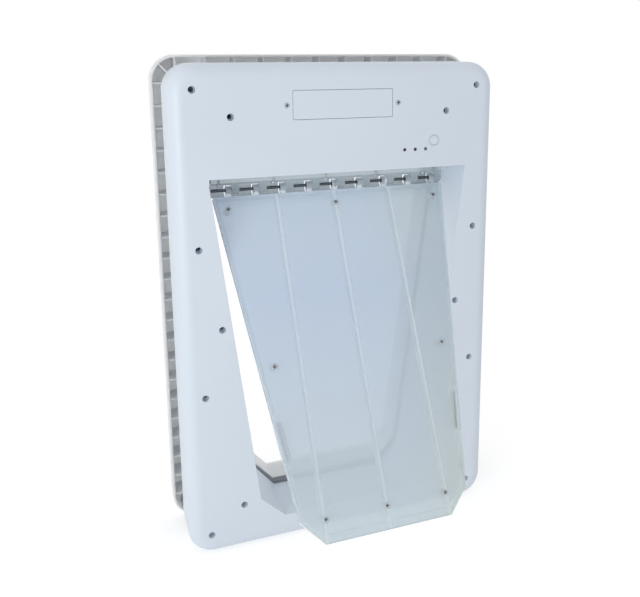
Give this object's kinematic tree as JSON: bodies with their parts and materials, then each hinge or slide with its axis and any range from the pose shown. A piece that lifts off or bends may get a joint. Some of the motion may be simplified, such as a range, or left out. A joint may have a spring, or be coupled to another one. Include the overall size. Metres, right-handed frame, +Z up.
{
  "type": "smart pet door",
  "caption": "Framed pet door for a door panel: white front and rear frames, a clear two-way swinging flap, side lock bolts and top controls.",
  "frame": {"origin": "bottom centre of the plane where the front frame meets the door panel", "axes": "+Z up, +Y from the front frame through the panel, +X to the right seen from the front"},
  "size_m": [0.42, 0.2797, 0.607],
  "materials": {
    "white_plastic": "fine satin moulding",
    "clear_plastic": "clear moulded acrylic",
    "seal_foam": "dark foam",
    "steel": "bright steel",
    "dark_bush": "dark nylon",
    "black_plastic": "plain black",
    "circuit_board": "solder mask",
    "cell_wrap": "plain wrap",
    "light_dark": "tinted lens, unlit",
    "light_green": "tinted lens, unlit"
  },
  "bodies": {
    "frames": {"front_frame": "white_plastic", "rear_frame": "white_plastic", "tunnel_seal": "seal_foam", "hinge_strip": "clear_plastic", "hinge_strip_screws": "steel", "hinge_rod": "steel", "battery_cover": "white_plastic", "battery_tray": "black_plastic", "battery_tray_screws": "steel", "circuit_board": "circuit_board", "button_switch": "black_plastic", "lock_screws": "steel", "battery_lower_left": "cell_wrap", "battery_upper_left": "cell_wrap", "battery_lower_right": "cell_wrap", "battery_upper_right": "cell_wrap", "status_light_left": "light_dark", "status_light_middle": "light_dark", "status_light_right": "light_green", "lock_housing_left": "black_plastic", "lock_housing_right": "black_plastic"},
    "flap": {"flap_front_shell": "clear_plastic", "flap_back_shell": "clear_plastic", "flap_bushes": "dark_bush", "flap_screws": "steel", "strike_plate_left": "steel", "strike_plate_right": "steel"},
    "button": {"button_cap": "white_plastic"},
    "bolt_left": {"lock_bolt_left": "steel"},
    "bolt_right": {"lock_bolt_right": "steel"}
  },
  "joints": [
    {"name": "flap_swing", "type": "hinge", "parent": "frames", "child": "flap", "pos_m": [0, -0.0067, 0.447], "axis": [1, 0, 0], "range_deg": [-51, 109]},
    {"name": "button_press", "type": "slide", "parent": "frames", "child": "button", "axis": [0, 1, 0], "range_m": [0, 0.001], "stiffness_N_per_m": 1500},
    {"name": "lock_bolt_left_slide", "type": "slide", "parent": "frames", "child": "bolt_left", "axis": [1, 0, 0], "range_m": [0, 0.01]},
    {"name": "lock_bolt_right_slide", "type": "slide", "parent": "frames", "child": "bolt_right", "axis": [-1, 0, 0], "range_m": [0, 0.01]}
  ],
  "couplings": [
    {"joint": "lock_bolt_right_slide", "follows": "lock_bolt_left_slide", "ratio": 1}
  ]
}
